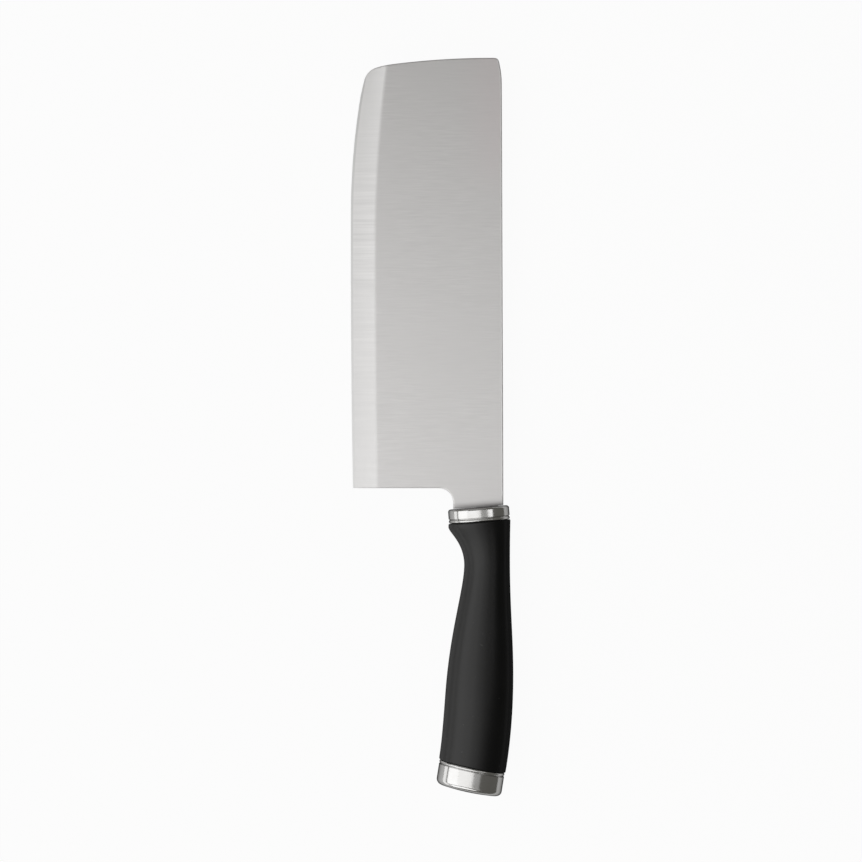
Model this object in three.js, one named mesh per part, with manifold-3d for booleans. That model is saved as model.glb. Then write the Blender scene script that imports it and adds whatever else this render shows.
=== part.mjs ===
// Kitchen cleaver: a ground steel blade whose hidden tang is pinned between two moulded core halves.
// A steel ferrule and a steel end cap hoop the halves, and a soft rubber sleeve is moulded between them.
// Millimetres. The cleaver lies on its side: +Y runs from handle to tip, +X from cutting edge to spine,
// and +Z out of the left face. Sizes are measured from the middle of the ferrule's front face.
import * as THREE from "three";
import { mergeVertices } from "three/addons/utils/BufferGeometryUtils.js";
import Module from "manifold-3d";

const wasm = await Module();
wasm.setup();

// Blade outline
const bladeLength = 180;
const bladeThickness = 2.4;
const edgeReach = 51.1;
const spineReach = 10;
const spineTaper = 0.65;
const cornerBreak = 0.4;
const heelSweep = 93;
const heelRise = 0.85;
const tipSweep = 63;
const tipRise = 6.8;
const tipFlat = 5.1;
const tipFall = 5.1;
const tipCorner = 11;
const tipCornerFullness = 0.9;
const spineEase = 10.5;
const spineFall = 1.5;
const spineCorner = 1.6;

// Ground bevel and honed edge
const bevelWidth = 9.75;
const shoulderSweep = 75;
const shoulderRise = 5.1;
const honeWidth = 0.7;
const thicknessBehindHone = 0.3;
const edgeFlat = 0.1;

// Neck and hidden tang
const neckLength = 7.75;
const neckWidth = 20.1;
const neckFillet = 5.8;
const tangLength = 86;
const tangWidth = 9;
const tangTailWidth = 7;
const tangThickness = 1.7;

// Cross pins, measured behind the ferrule's face and ahead of the tang's end
const pinRadius = 1.5;
const pinRecess = 0.8;
const frontPinAt = 25;
const rearPinFromEnd = 14;

// Handle: reaches are from the chord through its two ends to its back and belly
const gripLength = 97.75;
const buttDrop = 2.9;
const ferruleTilt = THREE.MathUtils.degToRad(4.4);
const buttTilt = THREE.MathUtils.degToRad(-11.9);
const capLean = THREE.MathUtils.degToRad(-9);
const frontReach = 12.45;
const lipLength = 1.3;
const grooveAt = 17.9;
const grooveReach = 5.6;
const swellAt = 69.5;
const swellReach = 11.65;
const backCrestAt = 69;
const backCrestReach = 15.55;
const buttReach = 13.6;
const frontThickness = 18.4;
const grooveThickness = 17.6;
const swellThickness = 20.8;
const buttThickness = 19.8;

// Fullness of the handle's curves, as shares of the stretch that each one spans
const lipFullness = 0.135;
const grooveFrontFullness = 0.58;
const grooveRearFullness = 0.19;
const swellFrontFullness = 0.5;
const swellRearFullness = 0.48;
const backFrontFullness = 0.52;
const backCrestFullness = 0.36;
const buttFullness = 0.27;
const swellSlope = 0.047;
const bellyEndSlope = 0.125;
const backEndSlope = 0.145;
const sectionPower = 2.3;

// Sleeve, ferrule, seal and end cap
const sleeveWall = 2;
const sleeveEdge = 0.5;
const ferruleLength = 5.65;
const ferruleWall = 0.8;
const ferruleFace = 1;
const ferruleRound = 1.3;
const ferruleRecess = 0.2;
const sealThickness = 0.8;
const capLength = 10.7;
const capWall = 0.8;
const capRound = 2.2;
const capDome = 0.85;
const capRecess = 0.3;
const beadWidth = 1.1;
const beadGrooveWidth = 0.5;
const beadGrooveDepth = 0.22;
const rimRound = 0.25;

// Clearance between neighbouring pieces, and the overlap that a cut runs past a surface
const fitGap = 0.25;
const overrun = 2;

// Facets
const ringPoints = 36;
const curveSteps = 12;
const lineSteps = 4 * curveSteps;
const boreSteps = 5;
const roundSteps = 4;
const edgeSteps = 28;
const tipSteps = 12;
const pinFacets = 20;
const weldDistance = 1e-4;
const sliverHeight = 1e-3;

const steel = { color: 0xb9bbbd, roughness: 0.38, metalness: 1 };
const polishedSteel = { color: 0xd4d5d6, roughness: 0.12, metalness: 1 };
const pinSteel = { color: 0x9fa1a3, roughness: 0.35, metalness: 1 };
const softRubber = { color: 0x222223, roughness: 0.62, metalness: 0 };
const hardPlastic = { color: 0x2c2d2e, roughness: 0.55, metalness: 0 };
const resin = { color: 0x8a7a52, roughness: 0.45, metalness: 0 };

function toSolid(geometry) {
  const bare = geometry.clone();
  bare.deleteAttribute("normal");
  bare.deleteAttribute("uv");
  const welded = mergeVertices(bare, weldDistance);
  const vertProperties = new Float32Array(welded.attributes.position.array);
  const triVerts = new Uint32Array(welded.index.array);
  return new wasm.Manifold(new wasm.Mesh({ numProp: 3, vertProperties, triVerts }));
}

function toGeometry(solid) {
  const { vertProperties, triVerts } = solid.simplify(sliverHeight).getMesh();
  const geometry = new THREE.BufferGeometry();
  geometry.setAttribute("position", new THREE.BufferAttribute(vertProperties, 3));
  geometry.setIndex(new THREE.BufferAttribute(triVerts, 1));
  geometry.computeVertexNormals();
  return geometry;
}

function piece(name, geometry, finish) {
  const mesh = new THREE.Mesh(geometry, new THREE.MeshStandardMaterial(finish));
  mesh.name = name;
  return mesh;
}

// A plate of the given outline, centred on the blade's mid plane
function plate(outline, thickness, options = {}) {
  const depth = thickness - 2 * (options.bevelThickness ?? 0);
  const geometry = new THREE.ExtrudeGeometry(outline, { depth, bevelEnabled: false, ...options });
  geometry.translate(0, 0, -depth / 2);
  return geometry;
}

// The edge sweeps up to the tip and slightly up to the heel, both as parabolas.
// The bevel's shoulder has a longer and shallower sweep of its own.
function sweptX(y, start, sweep, rise) {
  const towardsTip = Math.max(0, y - (bladeLength - sweep)) / sweep;
  const towardsHeel = Math.max(0, neckLength + heelSweep - y) / heelSweep;
  return start + rise * towardsTip ** 2 + heelRise * towardsHeel ** 2;
}

function edgeX(y) {
  return sweptX(y, -edgeReach, tipSweep, tipRise);
}

function shoulderX(y) {
  return sweptX(y, -edgeReach + bevelWidth, shoulderSweep, shoulderRise);
}

function spineX(y) {
  const towardsTip = Math.max(0, y - (bladeLength - spineEase)) / spineEase;
  return spineReach - (spineTaper * y) / bladeLength - spineFall * towardsTip ** 2;
}

function tipY(x) {
  const start = spineReach - tipFlat;
  const towardsEdge = Math.max(0, start - x) / (start + edgeReach);
  return bladeLength - tipFall * towardsEdge ** 2;
}

// Height of the neck's end, which follows the slanted face of the ferrule
function neckEndY(x) {
  return x * Math.tan(ferruleTilt) + fitGap / Math.cos(ferruleTilt);
}

function bladeOutline() {
  const neckX = spineReach - neckWidth;
  const tipX = edgeX(bladeLength - tipFall);
  const outline = new THREE.Shape();
  outline.moveTo(spineReach, neckEndY(spineReach));
  for (let i = 0; i <= roundSteps; i++) {
    const y = bladeLength - spineEase + (i / roundSteps) * (spineEase - spineCorner);
    outline.lineTo(spineX(y), y);
  }
  const spineTopX = spineX(bladeLength) - spineCorner;
  outline.quadraticCurveTo(spineX(bladeLength), bladeLength, spineTopX, tipY(spineTopX));
  for (let i = 1; i <= tipSteps; i++) {
    const x = THREE.MathUtils.lerp(spineTopX, tipX + tipCorner, i / tipSteps);
    outline.lineTo(x, tipY(x));
  }
  const cornerStart = new THREE.Vector2(tipX + tipCorner, tipY(tipX + tipCorner));
  const edgeTop = tipY(tipX) - tipCorner;
  const cornerEnd = new THREE.Vector2(edgeX(edgeTop), edgeTop);
  const corner = new THREE.Vector2(tipX, tipY(tipX));
  const leave = cornerStart.clone().lerp(corner, tipCornerFullness);
  const arrive = cornerEnd.clone().lerp(corner, tipCornerFullness);
  outline.bezierCurveTo(leave.x, leave.y, arrive.x, arrive.y, cornerEnd.x, cornerEnd.y);
  for (let i = 1; i <= edgeSteps; i++) {
    const y = THREE.MathUtils.lerp(edgeTop, neckLength, i / edgeSteps);
    outline.lineTo(edgeX(y), y);
  }
  outline.lineTo(neckX - neckFillet, neckLength);
  outline.absarc(neckX - neckFillet, neckLength - neckFillet, neckFillet, Math.PI / 2, 0, true);
  outline.lineTo(neckX, neckEndY(neckX));
  return outline;
}

// The grinding cut on one side, bent along the edge: a shallow bevel and then the steeper hone.
// Past the hone it is stretched, so that the bevel runs out at its shoulder.
function grindingCut(side) {
  const slope = (bladeThickness - thicknessBehindHone) / 2 / (bevelWidth - honeWidth);
  const top = bladeThickness / 2 + overrun;
  const section = new THREE.Shape();
  section.moveTo(-overrun, edgeFlat / 2);
  section.lineTo(0, edgeFlat / 2);
  section.lineTo(honeWidth, thicknessBehindHone / 2);
  section.lineTo(bevelWidth + overrun, bladeThickness / 2 + slope * overrun);
  section.lineTo(bevelWidth + overrun, top);
  section.lineTo(-overrun, top);
  const depth = bladeLength - neckLength + 2 * overrun;
  const cut = new THREE.ExtrudeGeometry(section, { depth, steps: edgeSteps, bevelEnabled: false });
  cut.translate(0, 0, -depth / 2);
  cut.rotateX((side * Math.PI) / 2);
  cut.translate(0, (bladeLength + neckLength) / 2, 0);
  const points = cut.attributes.position;
  for (let i = 0; i < points.count; i++) {
    const y = points.getY(i);
    const pastHone = Math.max(0, points.getX(i) - honeWidth);
    const stretch = (shoulderX(y) - edgeX(y) - honeWidth) / (bevelWidth - honeWidth);
    points.setX(i, edgeX(y) + points.getX(i) - pastHone + pastHone * stretch);
  }
  return toSolid(cut);
}

// Handle form: the back and belly lines give the reach at each station behind the ferrule
const backLine = new THREE.Path();
backLine.moveTo(0, frontReach);
backLine.bezierCurveTo(
  backFrontFullness * backCrestAt, frontReach,
  backCrestAt * (1 - backCrestFullness), backCrestReach,
  backCrestAt, backCrestReach,
);
const backFall = gripLength - backCrestAt;
backLine.bezierCurveTo(
  backCrestAt + backCrestFullness * backFall, backCrestReach,
  gripLength - buttFullness * backFall, buttReach + backEndSlope * buttFullness * backFall,
  gripLength, buttReach,
);

const bellyLine = new THREE.Path();
const flank = grooveAt - lipLength;
const rise = swellAt - grooveAt;
const flare = gripLength - swellAt;
bellyLine.moveTo(0, frontReach);
bellyLine.lineTo(lipLength, frontReach);
bellyLine.bezierCurveTo(
  lipLength + lipFullness * flank, frontReach,
  grooveAt - grooveFrontFullness * flank, grooveReach,
  grooveAt, grooveReach,
);
bellyLine.bezierCurveTo(
  grooveAt + grooveRearFullness * rise, grooveReach,
  swellAt - swellFrontFullness * rise, swellReach - swellSlope * swellFrontFullness * rise,
  swellAt, swellReach,
);
bellyLine.bezierCurveTo(
  swellAt + swellRearFullness * flare, swellReach + swellSlope * swellRearFullness * flare,
  gripLength - buttFullness * flare, buttReach - bellyEndSlope * buttFullness * flare,
  gripLength, buttReach,
);

const sideLine = new THREE.Path();
sideLine.moveTo(0, frontThickness / 2);
sideLine.splineThru([
  new THREE.Vector2(grooveAt, grooveThickness / 2),
  new THREE.Vector2(swellAt, swellThickness / 2),
  new THREE.Vector2(gripLength, buttThickness / 2),
]);

const reachPoints = new Map(
  [backLine, bellyLine, sideLine].map((line) => [line, line.getPoints(lineSteps)]),
);

function reachAt(line, station) {
  const points = reachPoints.get(line);
  const next = points.findIndex((point, i) => i > 0 && point.x >= station);
  const to = points[next < 0 ? points.length - 1 : next];
  const from = points[next < 0 ? points.length - 2 : next - 1];
  const share = THREE.MathUtils.clamp((station - from.x) / (to.x - from.x), 0, 1);
  return THREE.MathUtils.lerp(from.y, to.y, share);
}

// Section of the handle at a station. It goes on past the ferrule's end square to the end section,
// and past the butt along the lean of the cap.
function sectionAt(station) {
  const onGrip = THREE.MathUtils.clamp(station, 0, gripLength);
  const share = onGrip / gripLength;
  const tilt = THREE.MathUtils.lerp(ferruleTilt, buttTilt, share);
  const across = new THREE.Vector2(Math.cos(tilt), Math.sin(tilt));
  const lean = station > gripLength ? capLean : tilt;
  const rearward = new THREE.Vector2(Math.sin(lean), -Math.cos(lean));
  const back = reachAt(backLine, onGrip);
  const belly = reachAt(bellyLine, onGrip);
  const frontX = ferruleLength * Math.sin(ferruleTilt);
  const frontY = -ferruleLength * Math.cos(ferruleTilt);
  const centre = new THREE.Vector2(frontX - buttDrop * share, frontY - gripLength * share);
  centre.addScaledVector(rearward, station - onGrip);
  centre.addScaledVector(across, (back - belly) / 2);
  return { centre, across, halfWidth: (back + belly) / 2, halfThickness: reachAt(sideLine, onGrip) };
}

function rounded(value) {
  return Math.sign(value) * Math.abs(value) ** (2 / sectionPower);
}

// One ring of the handle form, inset from its surface and drawn in towards the middle by a share
function ring(station, inset, share = 1) {
  const { centre, across, halfWidth, halfThickness } = sectionAt(station);
  const points = [];
  for (let i = 0; i < ringPoints; i++) {
    const angle = (2 * Math.PI * i) / ringPoints;
    const along = share * (halfWidth - inset) * rounded(Math.cos(angle));
    const up = share * (halfThickness - inset) * rounded(Math.sin(angle));
    points.push(new THREE.Vector3(centre.x + along * across.x, centre.y + along * across.y, up));
  }
  return points;
}

// Joins rings into one closed body: as a tube that returns to its first ring, or with both ends filled
function loft(rings, isTube = false) {
  const vertices = rings.flat();
  const index = [];
  const last = isTube ? rings.length : rings.length - 1;
  for (let r = 0; r < last; r++) {
    const here = r * ringPoints;
    const there = ((r + 1) % rings.length) * ringPoints;
    for (let i = 0; i < ringPoints; i++) {
      const j = (i + 1) % ringPoints;
      index.push(here + i, here + j, there + i, here + j, there + j, there + i);
    }
  }
  if (!isTube) {
    const ends = [rings[0], rings[rings.length - 1]];
    ends.forEach((end, e) => {
      const middle = end.reduce((sum, point) => sum.add(point), new THREE.Vector3());
      const start = e * (rings.length - 1) * ringPoints;
      vertices.push(middle.divideScalar(ringPoints));
      for (let i = 0; i < ringPoints; i++) {
        const j = (i + 1) % ringPoints;
        const around = e === 0 ? [start + j, start + i] : [start + i, start + j];
        index.push(vertices.length - 1, ...around);
      }
    });
  }
  const geometry = new THREE.BufferGeometry().setFromPoints(vertices);
  geometry.setIndex(index);
  geometry.computeVertexNormals();
  return geometry;
}

// Rings that round an outer edge, from the end face to the wall.
// direction is +1 where the wall lies rearward.
function roundedEdge(faceStation, direction, radius, inset) {
  const rings = [];
  for (let i = 0; i <= roundSteps; i++) {
    const angle = (i / roundSteps) * (Math.PI / 2);
    const station = faceStation + direction * radius * (1 - Math.cos(angle));
    rings.push(ring(station, inset + radius * (1 - Math.sin(angle))));
  }
  return rings;
}

// Rings of the narrow bead beside a seam and the groove that sets it off, from the rim inwards
function beadRings(rimStation, direction, inset) {
  const grooveStart = rimStation + direction * beadWidth;
  const half = (direction * beadGrooveWidth) / 2;
  return [
    ring(rimStation, inset + rimRound),
    ring(rimStation + direction * rimRound, inset),
    ring(grooveStart, inset),
    ring(grooveStart + half, inset + beadGrooveDepth),
    ring(grooveStart + 2 * half, inset),
  ];
}

const boreStations = [
  0,
  ...bellyLine.getPoints(boreSteps).slice(1, -1).map((point) => point.x),
  gripLength,
];

// The tang runs straight back through the middle of the handle's slimmest section
const tangX = sectionAt(grooveAt).centre.x;
const frontPinY = -frontPinAt;
const rearPinY = -(tangLength - rearPinFromEnd);

function tangOutline(clearance) {
  const outline = new THREE.Shape();
  const start = tangWidth / 2 + clearance;
  const tail = tangTailWidth / 2 + clearance;
  const end = -tangLength - clearance;
  outline.moveTo(tangX - start, overrun);
  outline.lineTo(tangX - tail, end + tail);
  outline.absarc(tangX, end + tail, tail, Math.PI, 2 * Math.PI, false);
  outline.lineTo(tangX + start, overrun);
  return outline;
}

function pinHole(y) {
  const length = 2 * swellThickness;
  const hole = new THREE.CylinderGeometry(pinRadius + fitGap, pinRadius + fitGap, length, pinFacets);
  hole.rotateX(Math.PI / 2);
  hole.translate(tangX, y, 0);
  return toSolid(hole);
}

const tangPocket = toSolid(plate(tangOutline(fitGap), tangThickness + 2 * fitGap));
const pinHoles = pinHole(frontPinY).add(pinHole(rearPinY));

// Blade: a blanked plate with broken corners, ground from both sides, with its tang set in from all sides
function bladeGeometry() {
  const breaks = {
    bevelEnabled: true,
    bevelSegments: 1,
    bevelThickness: cornerBreak,
    bevelSize: cornerBreak,
    bevelOffset: -cornerBreak,
    curveSegments: curveSteps,
  };
  const blank = toSolid(plate(bladeOutline(), bladeThickness, breaks));
  const ground = blank.subtract(grindingCut(1)).subtract(grindingCut(-1));
  const tang = toSolid(plate(tangOutline(0), tangThickness));
  return toGeometry(ground.add(tang).subtract(pinHoles));
}

// Ferrule: a drawn cup, closed in front but for the tang's slot
const ferruleInset = ferruleRecess + ferruleWall;

function ferruleGeometry() {
  const innerFace = -ferruleLength + ferruleFace;
  const cup = loft([
    ...roundedEdge(-ferruleLength, 1, ferruleRound, ferruleRecess),
    ...beadRings(-fitGap, -1, ferruleRecess).reverse(),
    ring(-fitGap, ferruleInset),
    ring(innerFace, ferruleInset),
  ]);
  return toGeometry(toSolid(cup).subtract(tangPocket));
}

// Seal: a cast pad behind the ferrule's face
const sealFront = -ferruleLength + ferruleFace + fitGap;
const sealRear = sealFront + sealThickness;

function sealGeometry() {
  const inset = ferruleInset + fitGap;
  const pad = loft([ring(sealFront, inset), ring(sealRear, inset)]);
  return toGeometry(toSolid(pad).subtract(tangPocket));
}

// Core: a spigot in the ferrule, the body in the sleeve and a spigot in the cap, split along the tang
const capInset = capRecess + capWall;
const capFloor = gripLength + capLength - capDome - capWall;

function coreGeometry(side) {
  const frontSpigot = ferruleInset + fitGap;
  const body = sleeveWall + fitGap;
  const rearSpigot = capInset + fitGap;
  const cornerInset = capRound;
  const whole = loft([
    ring(sealRear + fitGap, frontSpigot),
    ring(-fitGap, frontSpigot),
    ring(-fitGap, body),
    ...boreStations.slice(1, -1).map((station) => ring(station, body)),
    ring(gripLength + fitGap, body),
    ring(gripLength + fitGap, rearSpigot),
    ring(capFloor - cornerInset, rearSpigot),
    ring(capFloor - fitGap, rearSpigot + cornerInset),
  ]);
  const length = 2 * (gripLength + capLength + ferruleLength);
  const half = new THREE.BoxGeometry(length, length, swellThickness);
  half.translate(0, 0, side * (swellThickness / 2 + fitGap / 2));
  return toGeometry(toSolid(whole).intersect(toSolid(half)).subtract(tangPocket).subtract(pinHoles));
}

// Pins end a little below the surface of the core
function pinLength(y) {
  const { halfThickness } = sectionAt(-y - ferruleLength);
  return 2 * (halfThickness - sleeveWall - fitGap - pinRecess);
}

function tangPin(name, y) {
  const geometry = new THREE.CylinderGeometry(pinRadius, pinRadius, pinLength(y), pinFacets);
  const pin = piece(name, geometry, pinSteel);
  pin.position.set(tangX, y, 0);
  pin.rotation.x = Math.PI / 2;
  return pin;
}

// Sleeve: moulded round the core, with softly rounded ends against the ferrule and the cap
function sleeveGeometry() {
  const stations = bellyLine.getPoints(curveSteps).map((point) => point.x);
  const along = stations.filter((station) => station > sleeveEdge && station < gripLength - sleeveEdge);
  return loft([
    ...roundedEdge(0, 1, sleeveEdge, 0),
    ...along.map((station) => ring(station, 0)),
    ...roundedEdge(gripLength, -1, sleeveEdge, 0).reverse(),
    ...boreStations.map((station) => ring(station, sleeveWall)).reverse(),
  ], true);
}

// End cap: a drawn cup over the rear spigot, with a rounded and slightly domed end
function capGeometry() {
  const rim = gripLength + fitGap;
  const end = gripLength + capLength - capDome;
  const inner = capInset + capRound;
  return loft([
    ring(capFloor, inner),
    ring(capFloor - capRound, capInset),
    ring(rim, capInset),
    ...beadRings(rim, 1, capRecess),
    ...roundedEdge(end, -1, capRound, capRecess).reverse(),
    ring(end + (2 * capDome) / 3, capRecess + capRound, 2 / 3),
    ring(end + capDome, capRecess + capRound, 1 / 3),
  ]);
}

const handle = new THREE.Group();
handle.add(
  piece("bolster_ferrule", ferruleGeometry(), polishedSteel),
  piece("tang_seal", sealGeometry(), resin),
  piece("core_left", coreGeometry(1), hardPlastic),
  piece("core_right", coreGeometry(-1), hardPlastic),
  tangPin("tang_pin_front", frontPinY),
  tangPin("tang_pin_rear", rearPinY),
  piece("grip_sleeve", sleeveGeometry(), softRubber),
  piece("end_cap", capGeometry(), polishedSteel),
);

// The origin lies under the middle of the cleaver, on the surface that the handle lies on
const cleaver = new THREE.Group();
cleaver.add(piece("blade", bladeGeometry(), steel), handle);
const extent = new THREE.Box3().setFromObject(cleaver, true);
const middle = extent.getCenter(new THREE.Vector3());
cleaver.position.set(-middle.x, -middle.y, -extent.min.z);

export default cleaver;
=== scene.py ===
import bisect
import math
import bpy
from mathutils import Matrix, Vector
from mathutils.geometry import interpolate_bezier


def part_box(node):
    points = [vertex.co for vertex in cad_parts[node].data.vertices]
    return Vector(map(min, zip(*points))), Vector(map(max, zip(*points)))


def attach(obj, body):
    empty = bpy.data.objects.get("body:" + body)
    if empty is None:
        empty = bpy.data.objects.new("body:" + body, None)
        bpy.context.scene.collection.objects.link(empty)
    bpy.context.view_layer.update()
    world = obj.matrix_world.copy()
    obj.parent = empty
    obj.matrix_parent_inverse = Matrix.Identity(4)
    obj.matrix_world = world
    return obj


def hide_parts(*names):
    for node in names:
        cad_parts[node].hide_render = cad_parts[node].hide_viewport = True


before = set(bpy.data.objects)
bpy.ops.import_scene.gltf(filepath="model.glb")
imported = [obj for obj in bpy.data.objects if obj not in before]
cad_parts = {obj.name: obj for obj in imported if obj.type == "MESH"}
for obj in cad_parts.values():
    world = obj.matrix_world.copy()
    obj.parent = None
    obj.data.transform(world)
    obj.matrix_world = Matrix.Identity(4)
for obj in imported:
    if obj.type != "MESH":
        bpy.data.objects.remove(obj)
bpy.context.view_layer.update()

# Camera: straight above the cleaver's left face, with the tip at the top of the picture.
# A long lens at arm's length keeps the outline nearly square to the view.
mm = 0.001
sensor_width = 36
camera_height = 1200 * mm
picture_width = 345.3 * mm
picture_centre = Vector((-0.42 * mm, -1.68 * mm, sum(corner.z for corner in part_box("blade")) / 2))

camera = bpy.data.objects.new("camera", bpy.data.cameras.new("camera"))
camera.data.sensor_width = sensor_width
camera.data.lens = sensor_width * camera_height / picture_width
camera.location = picture_centre + Vector((0, 0, camera_height))
bpy.context.scene.collection.objects.link(camera)
bpy.context.scene.camera = camera
bpy.context.scene.view_settings.view_transform = "Standard"

# Studio: a pale floor, white to the camera, under softboxes over the middle and the left of the table.
# One box stands at each end of the table, and a dim box and a short strip light hang on the right.
room_tone = (0.125, 0.121, 0.11, 1)
floor_radius = 4
floor_sides = 64
floor_gap = 0.2 * mm
floor_glow = 0.95
mirrored_glow = 0.2
floor_low = (0.73, 0.73, 0.73)
floor_high = (0.77, 0.77, 0.77)


def add_node(tree, kind, inputs=None, **settings):
    node = tree.nodes.new(kind)
    for name, value in settings.items():
        setattr(node, name, value)
    for socket, value in (inputs or {}).items():
        if isinstance(value, bpy.types.NodeSocket):
            tree.links.new(value, node.inputs[socket])
        else:
            node.inputs[socket].default_value = value
    return node


def new_material(name):
    material = bpy.data.materials.new(name)
    material.use_nodes = True
    shader = material.node_tree.nodes["Principled BSDF"]
    return material, material.node_tree, shader


def new_group(name, inputs, outputs):
    group = bpy.data.node_groups.new(name, "ShaderNodeTree")
    for socket, kind in inputs.items():
        group.interface.new_socket(socket, in_out="INPUT", socket_type=kind)
    for socket, kind in outputs.items():
        group.interface.new_socket(socket, in_out="OUTPUT", socket_type=kind)
    return group, add_node(group, "NodeGroupInput"), add_node(group, "NodeGroupOutput")


def use_group(tree, group, inputs):
    node = tree.nodes.new("ShaderNodeGroup")
    node.node_tree = group
    for socket, value in inputs.items():
        node.inputs[socket].default_value = value
    return node


def mix_colour(tree, factor, low, high):
    mixed = add_node(tree, "ShaderNodeMix", {"Factor": factor}, data_type="RGBA")
    for name, colour in (("A", low), ("B", high)):
        target = next(socket for socket in mixed.inputs if socket.name == name and socket.type == "RGBA")
        if isinstance(colour, bpy.types.NodeSocket):
            tree.links.new(colour, target)
        else:
            target.default_value = (*colour, 1)
    return next(socket for socket in mixed.outputs if socket.type == "RGBA")


# Soft cloudy patches, of so many to the metre, from 0 to 1
soft_patches, group_in, group_out = new_group(
    "soft_patches", {"Per metre": "NodeSocketFloat"}, {"Patches": "NodeSocketFloat"}
)
place = add_node(soft_patches, "ShaderNodeTexCoord")
cloud = add_node(
    soft_patches,
    "ShaderNodeTexNoise",
    {"Vector": place.outputs["Object"], "Scale": group_in.outputs["Per metre"], "Detail": 3.0},
)
soft_patches.links.new(cloud.outputs["Fac"], group_out.inputs["Patches"])


def softbox(name, place, target, width, height, brightness):
    lamp = bpy.data.lights.new(name, "AREA")
    lamp.shape = "RECTANGLE"
    lamp.size = width
    lamp.size_y = height
    lamp.energy = brightness * math.pi * width * height
    box = bpy.data.objects.new(name, lamp)
    away = (place - target).normalized()
    across = Vector((0, 1, 0)).cross(away).normalized()
    turn = Matrix((across, away.cross(across), away)).transposed()
    box.matrix_world = Matrix.Translation(place) @ turn.to_4x4()
    bpy.context.scene.collection.objects.link(box)


table_middle = Vector((0, 0, 0))
softbox("overhead_box", Vector((-0.445, -0.345, 2.46)), table_middle, 1.22, 1.51, 1.22)
softbox("overhead_spill", Vector((0.46, -0.6, 2.42)), table_middle, 0.55, 2.4, 0.3)
softbox("left_box", Vector((-1.7, -0.05, 1.83)), table_middle, 1.7, 2.4, 1.36)
softbox("low_left_box", Vector((-2.3, -0.7, 0.5)), table_middle, 0.9, 3.4, 1.08)
softbox("right_strip", Vector((0.954, 0.17, 2.09)), table_middle, 0.6, 0.45, 1.75)
softbox("handle_end_box", Vector((-0.9, -2.0, 1.45)), table_middle, 2.0, 1.5, 1.4)
softbox("tip_end_box", Vector((-0.6, 2.1, 1.5)), table_middle, 2.0, 1.4, 0.35)

world = bpy.data.worlds.new("studio_room")
world.use_nodes = True
world.node_tree.nodes["Background"].inputs["Color"].default_value = room_tone
bpy.context.scene.world = world

floor_mesh = bpy.data.meshes.new("floor")
floor_rim = [
    (floor_radius * math.cos(turn), floor_radius * math.sin(turn), -floor_gap)
    for turn in (2 * math.pi * i / floor_sides for i in range(floor_sides))
]
floor_mesh.from_pydata(floor_rim, [], [range(floor_sides)])
floor = bpy.data.objects.new("floor", floor_mesh)
bpy.context.scene.collection.objects.link(floor)

floor_paint, tree, shader = new_material("floor_paint")
patches = use_group(tree, soft_patches, {"Per metre": 3.0}).outputs["Patches"]
tree.links.new(mix_colour(tree, patches, floor_low, floor_high), shader.inputs["Base Color"])
shader.inputs["Roughness"].default_value = 0.9
shader.inputs["Specular IOR Level"].default_value = 0.1
rays = add_node(tree, "ShaderNodeLightPath").outputs
mirrored = add_node(
    tree, "ShaderNodeMath", {0: rays["Is Glossy Ray"], 1: rays["Is Transmission Ray"]}, operation="MAXIMUM"
)
faint = add_node(tree, "ShaderNodeMath", {0: mirrored.outputs[0], 1: mirrored_glow}, operation="MULTIPLY")
direct = add_node(tree, "ShaderNodeMath", {0: rays["Is Camera Ray"], 1: floor_glow}, operation="MULTIPLY")
share = add_node(tree, "ShaderNodeMath", {0: direct.outputs[0], 1: faint.outputs[0]}, operation="MAXIMUM")
glow = add_node(tree, "ShaderNodeEmission", {"Color": (1, 1, 1, 1), "Strength": 1.0})
white_floor = add_node(
    tree, "ShaderNodeMixShader", {0: share.outputs[0], 1: shader.outputs[0], 2: glow.outputs[0]}
)
tree.links.new(white_floor.outputs[0], tree.nodes["Material Output"].inputs["Surface"])
floor_mesh.materials.append(floor_paint)

# Blade: one blanked plate of stainless steel with its neck and hidden tang, satin brushed across its width.
# A wide bevel is ground on both sides and honed to the edge, and the other corners are broken by hand.
blade_length = 180 * mm
blade_thickness = 2.4 * mm
edge_reach = 51.1 * mm
spine_reach = 10 * mm
spine_taper = 0.65 * mm
corner_break = 0.4 * mm
heel_sweep = 93 * mm
heel_rise = 0.85 * mm
tip_sweep = 63 * mm
tip_rise = 6.8 * mm
tip_flat = 5.1 * mm
tip_fall = 5.1 * mm
tip_corner = 11 * mm
tip_corner_fullness = 0.9
spine_ease = 10.5 * mm
spine_fall = 1.5 * mm
spine_corner = 1.6 * mm
spine_corner_fullness = 2 / 3
bevel_width = 9.75 * mm
bevel_margin = 2 * mm
bevel_hollow = 0.25
shoulder_sweep = 75 * mm
shoulder_rise = 5.1 * mm
shoulder_softness = 0.7 * mm
hone_width = 0.7 * mm
thickness_behind_hone = 0.3 * mm
edge_flat = 0.1 * mm
warm_from = 0.68
warm_spread = 0.12
# Painted shade: how strong the darkening is on the edge side, and how far it reaches from the ferrule
ferrule_shade_at_edge_side = 0.5
ferrule_shade_reach = 3 * mm
nudge = 0.01 * mm
neck_length = 7.75 * mm
neck_width = 20.1 * mm
neck_fillet = 5.8 * mm
tang_length = 86 * mm
tang_width = 9 * mm
tang_tail_width = 7 * mm
tang_thickness = 1.7 * mm
fit_gap = 0.25 * mm
ferrule_tilt = math.radians(4.4)
corner_steps = 200
break_steps = 4
beside_break = (1.3 * corner_break, 2.2 * corner_break)
halvings = 40
blade_crease = 40
bevel_columns = 20
body_columns = 10
body_rows = 60
fillet_rows = 10
tang_rows = 12

blade_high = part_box("blade")[1]
ferrule_face = Vector((blade_high.x - spine_reach, blade_high.y - blade_length, picture_centre.z))
tang_middle = sum(corner.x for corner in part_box("tang_pin_front")) / 2 - ferrule_face.x
neck_x = spine_reach - neck_width
fillet_x = neck_x - neck_fillet
fillet_y = neck_length - neck_fillet


def lerp(start, end, share):
    return start + (end - start) * share


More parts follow.
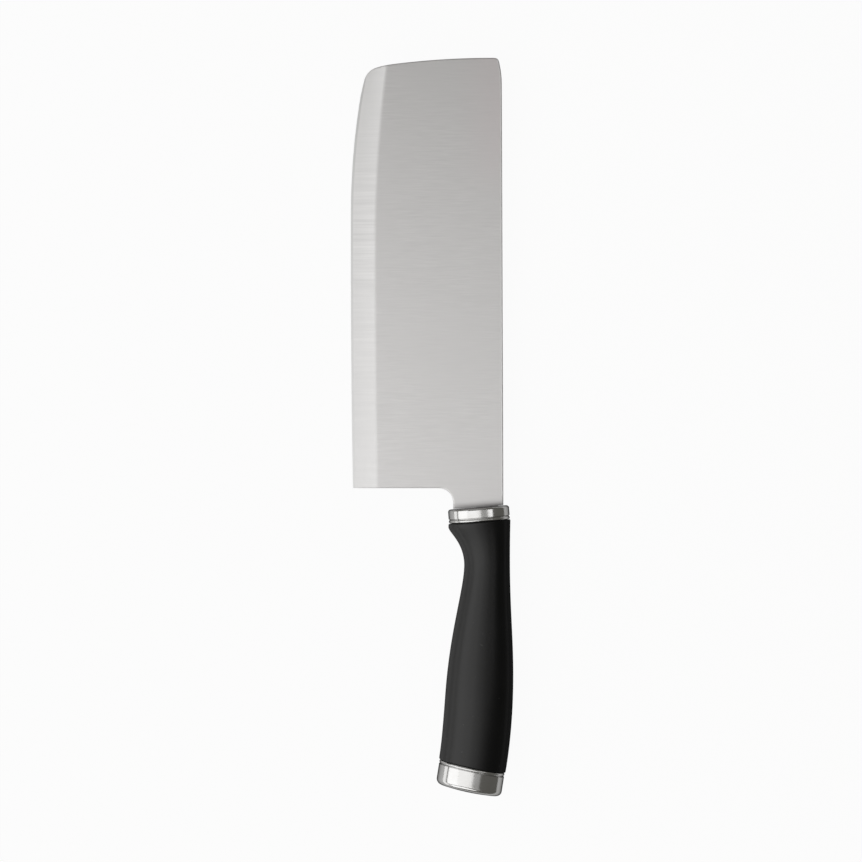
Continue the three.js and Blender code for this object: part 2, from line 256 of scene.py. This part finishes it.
def spread(start, end, steps):
    return [lerp(start, end, i / steps) for i in range(steps)]


# The edge sweeps up to the tip, and a little up to the heel.
# The bevel's shoulder has a longer sweep of its own.
def swept_x(y, start, sweep, rise):
    towards_tip = max(0, y - (blade_length - sweep)) / sweep
    towards_heel = max(0, neck_length + heel_sweep - y) / heel_sweep
    return start + rise * towards_tip**2 + heel_rise * towards_heel**2


def edge_x(y):
    return swept_x(y, -edge_reach, tip_sweep, tip_rise)


def shoulder_x(y):
    return swept_x(y, -edge_reach + bevel_width, shoulder_sweep, shoulder_rise)


def spine_x(y):
    towards_tip = max(0, y - (blade_length - spine_ease)) / spine_ease
    return spine_reach - spine_taper * y / blade_length - spine_fall * towards_tip**2


def tip_y(x):
    start = spine_reach - tip_flat
    towards_edge = max(0, start - x) / (start + edge_reach)
    return blade_length - tip_fall * towards_edge**2


def neck_end_y(x):
    return x * math.tan(ferrule_tilt) + fit_gap / math.cos(ferrule_tilt)


tip_x = edge_x(blade_length - tip_fall)
edge_top = tip_y(tip_x) - tip_corner
spine_top = blade_length - spine_corner
spine_top_x = spine_x(blade_length) - spine_corner


# A rounded corner of the outline: a curve from start to end that is drawn towards the corner's point
def corner_curve(start, corner, end, fullness):
    leave = start.lerp(corner, fullness)
    arrive = end.lerp(corner, fullness)
    points = interpolate_bezier(*(point.to_3d() for point in (start, leave, arrive, end)), corner_steps)
    return sorted(points, key=lambda point: point.x)


# Height of a line of points at x
def line_y(points, x):
    after = min(max(bisect.bisect_left(points, x, key=lambda point: point.x), 1), len(points) - 1)
    start, end = points[after - 1], points[after]
    return lerp(start.y, end.y, min(max((x - start.x) / (end.x - start.x), 0), 1))


edge_curve = corner_curve(
    Vector((edge_x(edge_top), edge_top)),
    Vector((tip_x, tip_y(tip_x))),
    Vector((tip_x + tip_corner, tip_y(tip_x + tip_corner))),
    tip_corner_fullness,
)
spine_curve = corner_curve(
    Vector((spine_x(spine_top), spine_top)),
    Vector((spine_x(blade_length), blade_length)),
    Vector((spine_top_x, tip_y(spine_top_x))),
    spine_corner_fullness,
)


def top_y(x):
    if x < tip_x + tip_corner:
        return line_y(edge_curve, x)
    if x > spine_top_x:
        return line_y(spine_curve, x)
    return tip_y(x)


# Distance from a point of the blade to the nearest of its broken corners
def margin(x, y):
    if x < fillet_x:
        below = y - neck_length
    elif y > fillet_y:
        below = math.hypot(x - fillet_x, y - fillet_y) - neck_fillet
    else:
        below = x - neck_x
    return max(0, min(below, spine_x(y) - x, top_y(x) - y))


def half_thickness(x, y):
    from_edge = x - edge_x(y)
    if from_edge < hone_width:
        half = lerp(edge_flat, thickness_behind_hone, from_edge / hone_width) / 2
    elif x < shoulder_x(y):
        ground = (from_edge - hone_width) / (shoulder_x(y) - edge_x(y) - hone_width)
        hollowed = ground - bevel_hollow * ground * (1 - ground)
        half = lerp(thickness_behind_hone, blade_thickness, hollowed) / 2
    else:
        half = blade_thickness / 2
    inside = min(margin(x, y) / corner_break, 1)
    return half - min(corner_break, half / 2) * (1 - math.sqrt(1 - (1 - inside) ** 2))


# Steps from a broken corner inwards, closer together where it turns most, and two on the flat beside it
break_offsets = [
    corner_break * (1 - math.cos(i / break_steps * math.pi / 2)) for i in range(break_steps + 1)
]
break_offsets += beside_break
rubbed_and_highlit_margin, flat_margin = beside_break


# A column is a function that gives x at a height.
# It follows the edge, the shoulder, the spine or a share between them.
def from_edge(distance):
    return lambda y: edge_x(y) + distance


def across_bevel(share):
    return lambda y: lerp(edge_x(y) + hone_width, shoulder_x(y) - shoulder_softness, share)


def from_shoulder(distance):
    return lambda y: shoulder_x(y) + distance


def across_flat(share):
    return lambda y: lerp(shoulder_x(y) + bevel_margin, spine_x(y) - flat_margin, share)


def from_spine(distance):
    return lambda y: spine_x(y) - distance


heel_start, heel_end = across_flat(0)(neck_length), across_flat(1)(neck_length)


def flat_share(x):
    return (x - heel_start) / (heel_end - heel_start)


columns = [from_edge(0), from_edge(hone_width / 2)]
columns += [across_bevel(share) for share in spread(0, 1, bevel_columns)]
columns += [from_shoulder(i * shoulder_softness) for i in (-1, 0, 1)]
columns += [across_flat(share) for share in spread(0, flat_share(fillet_x), body_columns)]
fillet_column = len(columns)
columns += [across_flat(flat_share(fillet_x + offset)) for offset in break_offsets[:-1]]
columns += [across_flat(share) for share in spread(flat_share(fillet_x + flat_margin), 1, 2 * body_columns)]
columns += [from_spine(offset) for offset in reversed(break_offsets)]


# Where a column meets the outline of the tip, by halving the stretch that it lies in
def column_top(column):
    low, high = edge_top - tip_corner, blade_length
    for _ in range(halvings):
        middle = (low + high) / 2
        if top_y(column(middle)) > middle:
            low = middle
        else:
            high = middle
    return low


tops = [column_top(column) for column in columns]
rows = [(offset, 0, 0) for offset in break_offsets[:-1]]
rows += [(flat_margin, flat_margin, share) for share in spread(0, 1, body_rows)]
rows += [(0, offset, 1) for offset in reversed(break_offsets)]

blade_points = []
left_faces = []


def add_row(points):
    first = len(blade_points)
    blade_points.extend(points)
    return list(range(first, len(blade_points)))


def join_rows(lower, upper):
    for k in range(len(lower) - 1):
        left_faces.append((lower[k], lower[k + 1], upper[k + 1], upper[k]))


body = []
for from_heel, from_top, share in rows:
    points = []
    for column, top in zip(columns, tops):
        y = lerp(neck_length + from_heel, top - from_top, share)
        x = column(y)
        points.append((x, y, half_thickness(x, y)))
    body.append(add_row(points))
for lower, upper in zip(body, body[1:]):
    join_rows(lower, upper)

# Neck: rows that follow the fillet round and then lean over to the slant of the ferrule's face
above = body[0][fillet_column:]
neck_columns = columns[fillet_column:]
heel_row = [column(neck_length) for column in neck_columns]
neck_lefts = [
    (fillet_x + neck_fillet * math.sin(turn), fillet_y + neck_fillet * math.cos(turn))
    for turn in (i / fillet_rows * math.pi / 2 for i in range(1, fillet_rows + 1))
]


def neck_row_x(left):
    steps = len(break_offsets) - 1
    inner, outer = left + flat_margin, spine_reach - flat_margin
    places = []
    for k, x in enumerate(heel_row):
        if k < steps:
            places.append(left + break_offsets[k])
        elif k >= len(heel_row) - steps:
            places.append(x)
        else:
            places.append(lerp(inner, outer, (x - heel_row[steps]) / (outer - heel_row[steps])))
    return places


for left, y in neck_lefts:
    row = add_row([(x, y, half_thickness(x, y)) for x in neck_row_x(left)])
    join_rows(row, above)
    above = row
row = add_row([(x, neck_end_y(x), half_thickness(x, neck_end_y(x))) for x in neck_row_x(neck_x)])
join_rows(row, above)
above = row

# Tang: set in from the neck on all sides, tapered, with a round end
tail_y = -tang_length + tang_tail_width / 2
for i in range(tang_rows + 1):
    half_width = lerp(tang_width, tang_tail_width, i / tang_rows) / 2
    shares = [2 * k / (len(above) - 1) - 1 for k in range(len(above))]
    places = [tang_middle + share * half_width for share in shares]
    row = add_row([(x, lerp(neck_end_y(x), tail_y, i / tang_rows), tang_thickness / 2) for x in places])
    join_rows(row, above)
    above = row
tail_reach = tang_tail_width / 2
for i in range(1, break_steps + 1):
    turn = i / (break_steps + 1) * math.pi / 2
    half_width = tail_reach * math.cos(turn)
    y = tail_y - tail_reach * math.sin(turn)
    row = add_row([(tang_middle + share * half_width, y, tang_thickness / 2) for share in shares])
    join_rows(row, above)
    above = row


# Share of the bevel's finish, which fades out across the softened shoulder
def bevel_share(x, y):
    past_shoulder = (x - shoulder_x(y)) / shoulder_softness
    return min(max((1 - past_shoulder) / 2, 0), 1)


# 1 on the honed edge, and 0 elsewhere
def hone_share(x, y):
    return float(x < edge_x(y) + hone_width + nudge)


# 1 on the spine's rubbed corner, which is painted lighter partly as worn steel and partly as a painted
# highlight, and 0 elsewhere
def rub_and_highlight_share(x, y):
    return float(spine_x(y) - x < rubbed_and_highlit_margin + nudge)


# How much lighter the bevel's colour is, growing from the heel to the tip
def tipward(x, y):
    return max(0, y / blade_length) ** 2


# Share of the faint warm tint on the spine's side of the blade, which grows towards the tip
def warmth(x, y):
    along = min(max((y / blade_length - warm_from) / warm_spread, 0), 1)
    return along * min(max(0.5 + x / spine_reach / 2, 0), 1)


# Share of the painted shade on the blade beside the ferrule's face, standing in for the ferrule's shadow on
# the steel, which is strongest near the spine
def painted_ferrule_shade(x, y):
    closeness = min(max(1 - (y - neck_end_y(x)) / ferrule_shade_reach, 0), 1)
    strength = lerp(ferrule_shade_at_edge_side, 1, (x - neck_x) / neck_width)
    return closeness**2 * min(max(strength, 0), 1)


# The right face mirrors the left one, and walls close the outline between them
count = len(blade_points)
directed = {(face[i], face[(i + 1) % 4]) for face in left_faces for i in range(4)}
walls = [(b, a, a + count, b + count) for a, b in sorted(directed) if (b, a) not in directed]
right_faces = [tuple(i + count for i in reversed(face)) for face in left_faces]
both_sides = [ferrule_face + Vector((x, y, side * half)) for side in (1, -1) for x, y, half in blade_points]


def new_piece(name, vertices, faces, sharp_angle):
    mesh = bpy.data.meshes.new(name)
    mesh.from_pydata(vertices, [], faces)
    mesh.polygons.foreach_set("use_smooth", [True] * len(mesh.polygons))
    mesh.set_sharp_from_angle(angle=math.radians(sharp_angle))
    piece = bpy.data.objects.new(name, mesh)
    bpy.context.scene.collection.objects.link(piece)
    return piece


def add_mask(piece, name, values):
    mask = piece.data.attributes.new(name, "FLOAT", "POINT")
    mask.data.foreach_set("value", values)


blade = new_piece("ground_blade", both_sides, left_faces + right_faces + walls, blade_crease)
for name, share_at in (
    ("ground", bevel_share),
    ("honed", hone_share),
    ("rubbed_and_highlit", rub_and_highlight_share),
    ("along", tipward),
    ("warmed", warmth),
    ("painted_shade", painted_ferrule_shade),
):
    add_mask(blade, name, [share_at(x, y) for x, y, _ in blade_points] * 2)
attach(blade, "root")
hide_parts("blade")

# Fine straight lines left by a belt or wheel, with a stretch of so many to the metre each way
brush_lines, group_in, group_out = new_group(
    "brush_lines", {"Stretch": "NodeSocketVector"}, {"Lines": "NodeSocketFloat"}
)
place = add_node(brush_lines, "ShaderNodeTexCoord")
stretched = add_node(
    brush_lines,
    "ShaderNodeVectorMath",
    {0: place.outputs["Object"], 1: group_in.outputs["Stretch"]},
    operation="MULTIPLY",
)
lines = add_node(
    brush_lines,
    "ShaderNodeTexNoise",
    {"Vector": stretched.outputs["Vector"], "Scale": 1.0, "Detail": 2.0, "Roughness": 0.6},
)
brush_lines.links.new(lines.outputs["Fac"], group_out.inputs["Lines"])


def between(tree, value, low, high, from_low=0.3, from_high=0.7):
    ranged = add_node(
        tree,
        "ShaderNodeMapRange",
        {"Value": value, "From Min": from_low, "From Max": from_high, "To Min": low, "To Max": high},
    )
    return ranged.outputs["Result"]


def mask(tree, name):
    return add_node(tree, "ShaderNodeAttribute", attribute_name=name).outputs["Fac"]


blade_finish, tree, shader = new_material("satin_blade_steel")
long_lines = use_group(tree, brush_lines, {"Stretch": (110, 1500, 110)}).outputs["Lines"]
fine_lines = use_group(tree, brush_lines, {"Stretch": (150, 5000, 150)}).outputs["Lines"]
wheel_lines = use_group(tree, brush_lines, {"Stretch": (30, 900, 30)}).outputs["Lines"]
patches = use_group(tree, soft_patches, {"Per metre": 35.0}).outputs["Patches"]
brushed = mix_colour(tree, between(tree, long_lines, 0, 1), (0.705, 0.697, 0.697), (0.763, 0.754, 0.754))
rubbed_even = mix_colour(tree, between(tree, patches, 0.1, 0.75, 0.4, 0.65), brushed, (0.732, 0.723, 0.723))
tint = add_node(
    tree,
    "ShaderNodeMath",
    {0: mask(tree, "warmed"), 1: between(tree, patches, 0.4, 1)},
    operation="MULTIPLY",
)
tinted = mix_colour(tree, tint.outputs[0], rubbed_even, (0.755, 0.71, 0.717))
bevel_low = mix_colour(tree, mask(tree, "along"), (0.645, 0.64, 0.64), (0.795, 0.79, 0.79))
bevel_high = mix_colour(tree, mask(tree, "along"), (0.745, 0.74, 0.74), (0.895, 0.89, 0.89))
scored = between(tree, wheel_lines, between(tree, patches, 0.5, 0), between(tree, patches, 0.5, 1))
bevel_lines = mix_colour(tree, scored, bevel_low, bevel_high)
ground_tone = mix_colour(tree, mask(tree, "ground"), tinted, bevel_lines)
# Partly wear and partly a painted highlight: the spine's broken corner is painted lighter
worn_and_highlit_tone = mix_colour(tree, mask(tree, "rubbed_and_highlit"), ground_tone, (0.86, 0.86, 0.86))
honed_tone = mix_colour(tree, mask(tree, "honed"), worn_and_highlit_tone, (0.64, 0.64, 0.64))
# Painted shade: the blade's colour is darkened next to the ferrule, where the ferrule shadows it
ferrule_shaded_tone = mix_colour(tree, mask(tree, "painted_shade"), honed_tone, (0.2, 0.195, 0.195))
tree.links.new(ferrule_shaded_tone, shader.inputs["Base Color"])
tree.links.new(between(tree, fine_lines, 0.33, 0.4), shader.inputs["Roughness"])
shader.inputs["Metallic"].default_value = 1
scratches = add_node(
    tree, "ShaderNodeBump", {"Height": fine_lines, "Strength": 0.06, "Distance": 0.02 * mm}
)
tree.links.new(scratches.outputs["Normal"], shader.inputs["Normal"])
blade.data.materials.append(blade_finish)

# Ferrule: a shallow cup drawn from thin stainless steel and mirror polished, slotted for the tang.
# It hoops the front of the two core halves, and a narrow bead is rolled along its rear rim.
grip_length = 97.75 * mm
butt_drop = 2.9 * mm
butt_tilt = math.radians(-11.9)
cap_lean = math.radians(-9)
front_reach = 12.45 * mm
lip_length = 1.3 * mm
groove_at = 17.9 * mm
groove_reach = 5.6 * mm
swell_at = 69.5 * mm
swell_reach = 11.65 * mm
back_crest_at = 69 * mm
back_crest_reach = 15.55 * mm
butt_reach = 13.6 * mm
front_thickness = 18.4 * mm
groove_thickness = 17.6 * mm
swell_thickness = 20.8 * mm
butt_thickness = 19.8 * mm
lip_fullness = 0.135
groove_front_fullness = 0.58
groove_rear_fullness = 0.19
swell_front_fullness = 0.5
swell_rear_fullness = 0.48
back_front_fullness = 0.52
back_crest_fullness = 0.36
butt_fullness = 0.27
swell_slope = 0.047
belly_end_slope = 0.125
back_end_slope = 0.145
section_power = 2.3
slot_power = 8
ring_points = 160
rail_steps = 300
ferrule_length = 5.65 * mm
ferrule_wall = 0.8 * mm
ferrule_front = 1 * mm
ferrule_round = 1 * mm
ferrule_recess = 0.2 * mm
bead_width = 1.1 * mm
bead_crown = 0.25 * mm
bead_groove_width = 0.45 * mm
bead_groove_depth = 0.22 * mm
flat_step = 0.06 * mm
round_steps = 10
bead_steps = 8
handle_crease = 45


# A rail gives the handle's reach at each station behind the ferrule. It is drawn as joined curves.
def rail(*spans):
    points = []
    for start, leave, arrive, end in spans:
        corners = [(*corner, 0) for corner in (start, leave, arrive, end)]
        points += interpolate_bezier(*corners, rail_steps)[:-1]
    points.append(Vector((*spans[-1][3], 0)))
    return points


back_fall = grip_length - back_crest_at
back_rail = rail(
    (
        (0, front_reach),
        (back_front_fullness * back_crest_at, front_reach),
        (back_crest_at * (1 - back_crest_fullness), back_crest_reach),
        (back_crest_at, back_crest_reach),
    ),
    (
        (back_crest_at, back_crest_reach),
        (back_crest_at + back_crest_fullness * back_fall, back_crest_reach),
        (grip_length - butt_fullness * back_fall, butt_reach + back_end_slope * butt_fullness * back_fall),
        (grip_length, butt_reach),
    ),
)

flank = groove_at - lip_length
rise = swell_at - groove_at
flare = grip_length - swell_at
belly_rail = rail(
    (
        (0, front_reach),
        (lip_length / 3, front_reach),
        (lip_length * 2 / 3, front_reach),
        (lip_length, front_reach),
    ),
    (
        (lip_length, front_reach),
        (lip_length + lip_fullness * flank, front_reach),
        (groove_at - groove_front_fullness * flank, groove_reach),
        (groove_at, groove_reach),
    ),
    (
        (groove_at, groove_reach),
        (groove_at + groove_rear_fullness * rise, groove_reach),
        (swell_at - swell_front_fullness * rise, swell_reach - swell_slope * swell_front_fullness * rise),
        (swell_at, swell_reach),
    ),
    (
        (swell_at, swell_reach),
        (swell_at + swell_rear_fullness * flare, swell_reach + swell_slope * swell_rear_fullness * flare),
        (grip_length - butt_fullness * flare, butt_reach - belly_end_slope * butt_fullness * flare),
        (grip_length, butt_reach),
    ),
)

side_stops = [
    Vector((0, front_thickness / 2)),
    Vector((groove_at, groove_thickness / 2)),
    Vector((swell_at, swell_thickness / 2)),
    Vector((grip_length, butt_thickness / 2)),
]
side_spans = []
for i in range(len(side_stops) - 1):
    before, start, end = side_stops[max(i - 1, 0)], side_stops[i], side_stops[i + 1]
    after = side_stops[min(i + 2, len(side_stops) - 1)]
    side_spans.append((start, start + (end - before) / 6, end - (after - start) / 6, end))
side_rail = rail(*side_spans)


# The handle's section at a station.
# Past the front it runs on square to the face, and past the butt it leans.
def section_at(station):
    on_grip = min(max(station, 0), grip_length)
    share = on_grip / grip_length
    tilt = lerp(ferrule_tilt, butt_tilt, share)
    across = Vector((math.cos(tilt), math.sin(tilt), 0))
    lean = cap_lean if station > grip_length else tilt
    rearward = Vector((math.sin(lean), -math.cos(lean), 0))
    back = line_y(back_rail, on_grip)
    belly = line_y(belly_rail, on_grip)
    front = Vector((math.sin(ferrule_tilt), -math.cos(ferrule_tilt), 0)) * ferrule_length
    chord = front - Vector((butt_drop, grip_length, 0)) * share
    centre = chord + rearward * (station - on_grip) + across * (back - belly) / 2
    return centre, across, (back + belly) / 2, line_y(side_rail, on_grip)


def oval(centre, across, half_width, half_height, power):
    points = []
    for i in range(ring_points):
        turn = 2 * math.pi * i / ring_points
        along = math.copysign(abs(math.cos(turn)) ** (2 / power), math.cos(turn))
        up = math.copysign(abs(math.sin(turn)) ** (2 / power), math.sin(turn))
        height = Vector((0, 0, up * half_height))
        points.append(ferrule_face + centre + across * (along * half_width) + height)
    return points


# A ring of the section, or a share of it that turns into an ellipse towards the middle
def ring(station, inset, share=1):
    centre, across, half_width, half_height = section_at(station)
    power = lerp(2, section_power, share)
    return oval(centre, across, share * (half_width - inset), share * (half_height - inset), power)


# The tang's slot through a face of the ferrule
def slot_ring(station):
    centre, across = section_at(station)[:2]
    middle = centre + across * ((tang_middle - centre.x) / across.x)
    return oval(middle, across, tang_width / 2 + fit_gap, tang_thickness / 2 + fit_gap, slot_power)


# Joins rings into a tube that closes on its first ring, or fills the two end rings
def loft(rings, is_tube):
    vertices = [point for points in rings for point in points]
    faces = []
    for r in range(len(rings) if is_tube else len(rings) - 1):
        here = r * ring_points
        there = (r + 1) % len(rings) * ring_points
        for i in range(ring_points):
            j = (i + 1) % ring_points
            faces.append((here + i, here + j, there + j, there + i))
    if not is_tube:
        faces.append(tuple(reversed(range(ring_points))))
        faces.append(tuple(range(len(vertices) - ring_points, len(vertices))))
    return vertices, faces


# Stations and insets round an outer edge, from the end face to the wall
def rounded_edge(face_station, direction, radius, inset):
    steps = [(face_station, inset + radius + flat_step)]
    for i in range(round_steps + 1):
        turn = i / round_steps * math.pi / 2
        along = radius * (1 - math.cos(turn))
        steps.append((face_station + direction * along, inset + radius * (1 - math.sin(turn))))
    steps.append((face_station + direction * (radius + flat_step), inset))
    return steps


# Stations and insets of a crowned bead beside a seam and of the groove that sets it off.
# They run from the rim inwards.
def rolled_bead(rim_station, direction, inset):
    steps = []
    for i in range(bead_steps + 1):
        along = bead_width * i / bead_steps
        crown = math.sin(i / bead_steps * math.pi)
        steps.append((rim_station + direction * along, inset + bead_crown * (1 - crown)))
    for i in range(1, bead_steps + 1):
        along = bead_width + bead_groove_width * i / bead_steps
        depth = bead_crown * (1 - i / bead_steps) + bead_groove_depth * math.sin(i / bead_steps * math.pi)
        steps.append((rim_station + direction * along, inset + depth))
    steps.append((rim_station + direction * (bead_width + bead_groove_width + flat_step), inset))
    return steps


ferrule_inset = ferrule_recess + ferrule_wall
ferrule_profile = rounded_edge(-ferrule_length, 1, ferrule_round, ferrule_recess)
ferrule_profile += reversed(rolled_bead(-fit_gap, -1, ferrule_recess))
ferrule_profile += [(-fit_gap, ferrule_inset), (-ferrule_length + ferrule_front, ferrule_inset)]
ferrule_rings = [slot_ring(-ferrule_length)]
ferrule_rings += [ring(station, inset) for station, inset in ferrule_profile]
ferrule_rings += [slot_ring(-ferrule_length + ferrule_front)]
ferrule = new_piece("polished_ferrule", *loft(ferrule_rings, True), handle_crease)
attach(ferrule, "root")
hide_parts("bolster_ferrule")

polished_finish, tree, shader = new_material("mirror_polished_steel")
buffing = use_group(tree, brush_lines, {"Stretch": (250, 9000, 250)}).outputs["Lines"]
patches = use_group(tree, soft_patches, {"Per metre": 160.0}).outputs["Patches"]
waves = use_group(tree, soft_patches, {"Per metre": 220.0}).outputs["Patches"]
polished_tone = mix_colour(tree, between(tree, patches, 0, 1), (0.612, 0.607, 0.597), (0.67, 0.67, 0.67))
tree.links.new(polished_tone, shader.inputs["Base Color"])
tree.links.new(between(tree, buffing, 0.11, 0.18), shader.inputs["Roughness"])
shader.inputs["Metallic"].default_value = 1
shader.inputs["Specular Tint"].default_value = (0.03, 0.03, 0.03, 1)
drawn_sheet = add_node(tree, "ShaderNodeBump", {"Height": waves, "Strength": 0.05, "Distance": 0.1 * mm})
tree.links.new(drawn_sheet.outputs["Normal"], shader.inputs["Normal"])
ferrule.data.materials.append(polished_finish)

# Seal: a pad of resin cast behind the ferrule's face, so that no water gets in along the tang.
# It sets amber and slightly cloudy, and nothing of it shows once the handle is closed.
seal_finish, tree, shader = new_material("cast_resin")
patches = use_group(tree, soft_patches, {"Per metre": 400.0}).outputs["Patches"]
resin_tone = mix_colour(tree, between(tree, patches, 0, 1), (0.42, 0.35, 0.22), (0.55, 0.48, 0.32))
tree.links.new(resin_tone, shader.inputs["Base Color"])
tree.links.new(between(tree, patches, 0.4, 0.55), shader.inputs["Roughness"])


def refinish(node, material):
    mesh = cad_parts[node].data
    mesh.materials.clear()
    mesh.materials.append(material)


refinish("tang_seal", seal_finish)

# Core halves: hard black plastic, moulded to fit round the tang and pinned through it.
# Their front and rear spigots fill the ferrule and the end cap.
fine_grain, group_in, group_out = new_group(
    "fine_grain", {"Per metre": "NodeSocketFloat"}, {"Grain": "NodeSocketFloat"}
)
place = add_node(fine_grain, "ShaderNodeTexCoord")
cells = add_node(
    fine_grain,
    "ShaderNodeTexVoronoi",
    {"Vector": place.outputs["Object"], "Scale": group_in.outputs["Per metre"]},
    feature="SMOOTH_F1",
)
fine_grain.links.new(cells.outputs["Distance"], group_out.inputs["Grain"])

core_finish, tree, shader = new_material("moulded_core_plastic")
grain = use_group(tree, fine_grain, {"Per metre": 2500.0}).outputs["Grain"]
patches = use_group(tree, soft_patches, {"Per metre": 90.0}).outputs["Patches"]
core_tone = mix_colour(tree, between(tree, patches, 0, 1), (0.042, 0.042, 0.044), (0.058, 0.058, 0.06))
tree.links.new(core_tone, shader.inputs["Base Color"])
tree.links.new(between(tree, patches, 0.5, 0.6), shader.inputs["Roughness"])
spark_finish = add_node(tree, "ShaderNodeBump", {"Height": grain, "Strength": 0.3, "Distance": 0.05 * mm})
tree.links.new(spark_finish.outputs["Normal"], shader.inputs["Normal"])
for half in ("core_left", "core_right"):
    refinish(half, core_finish)

# Tang pins: two plain steel cross pins, turned from rod.
# They are pressed through both core halves and the tang before the sleeve is moulded on.
pin_finish, tree, shader = new_material("turned_pin_steel")
turning = use_group(tree, brush_lines, {"Stretch": (600, 600, 12000)}).outputs["Lines"]
pin_tone = mix_colour(tree, between(tree, turning, 0, 1), (0.5, 0.51, 0.52), (0.6, 0.61, 0.62))
tree.links.new(pin_tone, shader.inputs["Base Color"])
tree.links.new(between(tree, turning, 0.26, 0.4), shader.inputs["Roughness"])
shader.inputs["Metallic"].default_value = 1
for pin in ("tang_pin_front", "tang_pin_rear"):
    refinish(pin, pin_finish)

# Grip sleeve: soft black rubber moulded round the core, drawn in for the first finger and full at the palm.
# Its ends are softly rounded against the ferrule and the end cap, and its skin has a fine grain.
# The side that lies in the palm has less gloss than the side for the fingers.
sleeve_wall = 2 * mm
sleeve_edge = 0.5 * mm
sleeve_stations = 180
bore_stations = 40

sleeve_profile = rounded_edge(0, 1, sleeve_edge, 0)
sleeve_profile += [
    (station, 0) for station in spread(sleeve_edge, grip_length - sleeve_edge, sleeve_stations)[2:-1]
]
sleeve_profile += reversed(rounded_edge(grip_length, -1, sleeve_edge, 0))
bore_profile = [(station, sleeve_wall) for station in spread(grip_length, 0, bore_stations)]
bore_profile.append((0, sleeve_wall))
sleeve_rings = [ring(station, inset) for station, inset in sleeve_profile + bore_profile]
sleeve = new_piece("soft_grip_sleeve", *loft(sleeve_rings, True), handle_crease)
palm_side = [(1 + math.cos(2 * math.pi * i / ring_points)) / 2 for i in range(ring_points)]
add_mask(sleeve, "palm", palm_side * len(sleeve_rings))
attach(sleeve, "root")
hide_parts("grip_sleeve")

grip_finish, tree, shader = new_material("soft_touch_rubber")
grain = use_group(tree, fine_grain, {"Per metre": 3200.0}).outputs["Grain"]
dust = use_group(tree, fine_grain, {"Per metre": 600.0}).outputs["Grain"]
patches = use_group(tree, soft_patches, {"Per metre": 70.0}).outputs["Patches"]
deep_black = (0.0028, 0.0028, 0.003)
soft_black = (0.0045, 0.0045, 0.0047)
rubber_tone = mix_colour(tree, between(tree, patches, 0, 1), deep_black, soft_black)
dusted_tone = mix_colour(tree, between(tree, dust, 1, 0, 0.03, 0.09), rubber_tone, (0.022, 0.022, 0.022))
tree.links.new(dusted_tone, shader.inputs["Base Color"])
facing = add_node(tree, "ShaderNodeLayerWeight", {"Blend": 0.5}).outputs["Facing"]
tree.links.new(between(tree, facing, 0.33, 0.9, 0.4, 0.9), shader.inputs["Roughness"])
top_gloss = between(tree, mask(tree, "palm"), 0.49, 0.26, 0.42, 0.68)
rim_gloss = between(tree, mask(tree, "palm"), 0.54, 0.04, 0.2, 0.8)
gloss = between(tree, facing, top_gloss, rim_gloss, 0.18, 0.45)
tree.links.new(gloss, shader.inputs["Specular IOR Level"])
rubber_skin = add_node(tree, "ShaderNodeBump", {"Height": grain, "Strength": 0.25, "Distance": 0.05 * mm})
tree.links.new(rubber_skin.outputs["Normal"], shader.inputs["Normal"])
sleeve.data.materials.append(grip_finish)

# End cap: a deeper cup of the same polished sheet, pressed over the rear spigot of the core.
# Its end is rounded and slightly domed, and a bead along its rim meets the sleeve.
cap_length = 10.7 * mm
cap_wall = 0.8 * mm
cap_round = 2.2 * mm
cap_dome = 0.85 * mm
cap_recess = 0.3 * mm
dome_rings = 12

cap_rim = grip_length + fit_gap
cap_end = grip_length + cap_length - cap_dome
cap_inset = cap_recess + cap_wall
cap_profile = [(cap_rim, cap_inset)]
cap_profile += rolled_bead(cap_rim, 1, cap_recess)
cap_profile += reversed(rounded_edge(cap_end, -1, cap_round, cap_recess))
cap_rings = [ring(cap_end - cap_wall, cap_inset + cap_round)]
cap_rings += [ring(cap_end - cap_wall - cap_round, cap_inset)]
cap_rings += [ring(station, inset) for station, inset in cap_profile]
for i in range(1, dome_rings):
    outwards = 1 - i / dome_rings
    cap_rings.append(ring(cap_end + cap_dome * (1 - outwards**2), cap_recess + cap_round, outwards))
cap = new_piece("polished_end_cap", *loft(cap_rings, False), handle_crease)
cap.data.materials.append(polished_finish)
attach(cap, "root")
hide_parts("end_cap")
